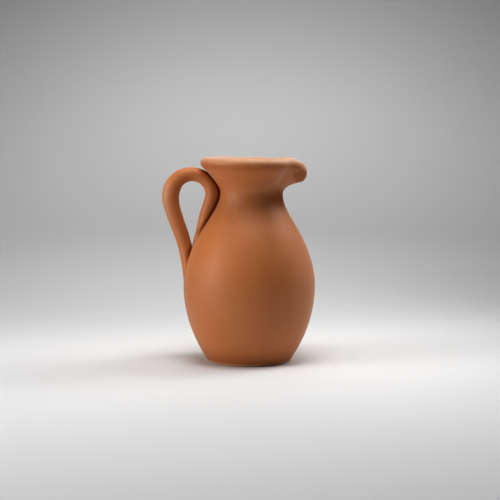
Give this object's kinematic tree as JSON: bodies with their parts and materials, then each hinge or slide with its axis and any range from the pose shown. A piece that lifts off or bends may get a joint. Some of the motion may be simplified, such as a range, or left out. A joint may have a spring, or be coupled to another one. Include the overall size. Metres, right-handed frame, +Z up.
{
  "type": "pitcher",
  "caption": "Round-bellied clay pitcher with a flat foot, a waisted neck, a flared mouth with a rolled rim and a short pouring spout, and a looped coil handle.",
  "frame": {"origin": "centre of the flat underside of the foot", "axes": "+Z up from the foot to the mouth, +X towards the pouring spout, -X towards the handle, Y across the pitcher"},
  "size_m": [0.1664, 0.1434, 0.2225],
  "materials": {
    "terracotta": "unglazed, matte, fine-grained"
  },
  "bodies": {
    "root": {"base": "terracotta", "lower_body": "terracotta", "upper_body": "terracotta", "neck": "terracotta", "spout_collar": "terracotta", "rim_roll": "terracotta", "handle": "terracotta", "upper_handle_joint": "terracotta", "lower_handle_joint": "terracotta"}
  },
  "joints": []
}
